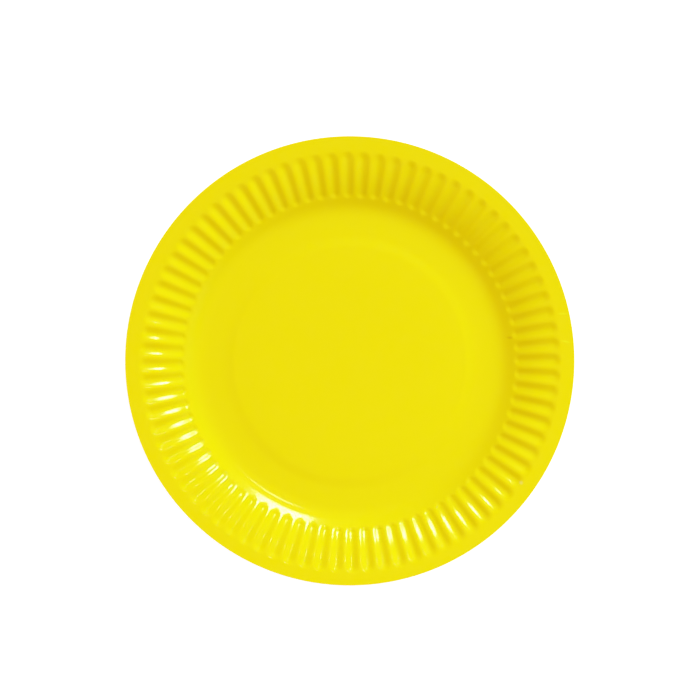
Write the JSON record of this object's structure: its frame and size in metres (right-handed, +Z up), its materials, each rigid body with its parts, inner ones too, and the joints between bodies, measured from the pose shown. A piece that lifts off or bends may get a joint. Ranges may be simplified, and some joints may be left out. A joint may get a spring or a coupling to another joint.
{
  "type": "paper plate",
  "caption": "Round pressed paperboard plate with a shallow well, a fluted sloping wall and a plain rim.",
  "frame": {"origin": "middle of the trimmed edge, on the surface that the plate stands on", "axes": "+Z up, out of the well; +X and +Y lie in the plane of that surface, with the pressed form set a little towards -Y of the trimmed edge"},
  "size_m": [0.23, 0.23, 0.013],
  "materials": {
    "coated_board": "gloss"
  },
  "bodies": {
    "root": {"plate": "coated_board"}
  },
  "joints": []
}
